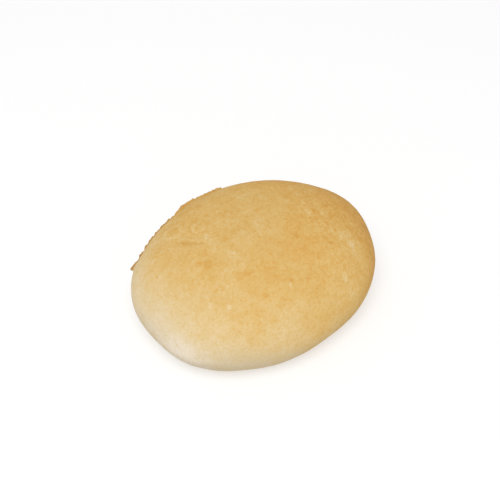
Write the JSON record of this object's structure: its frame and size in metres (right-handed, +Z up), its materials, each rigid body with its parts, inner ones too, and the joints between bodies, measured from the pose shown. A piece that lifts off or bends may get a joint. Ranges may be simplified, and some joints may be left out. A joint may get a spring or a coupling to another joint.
{
  "type": "bread roll",
  "caption": "Soft oval bread roll, a low plump loaf with a golden crust, paler sides and a flat base, that rests on any level surface.",
  "frame": {"origin": "middle of the flat base, on the surface that the roll rests on", "axes": "+X along the roll's length, +Y across it towards the browned, torn edge, +Z up"},
  "size_m": [0.11, 0.088, 0.044],
  "materials": {
    "crust": "matte"
  },
  "bodies": {
    "root": {"roll": "crust"}
  },
  "joints": []
}
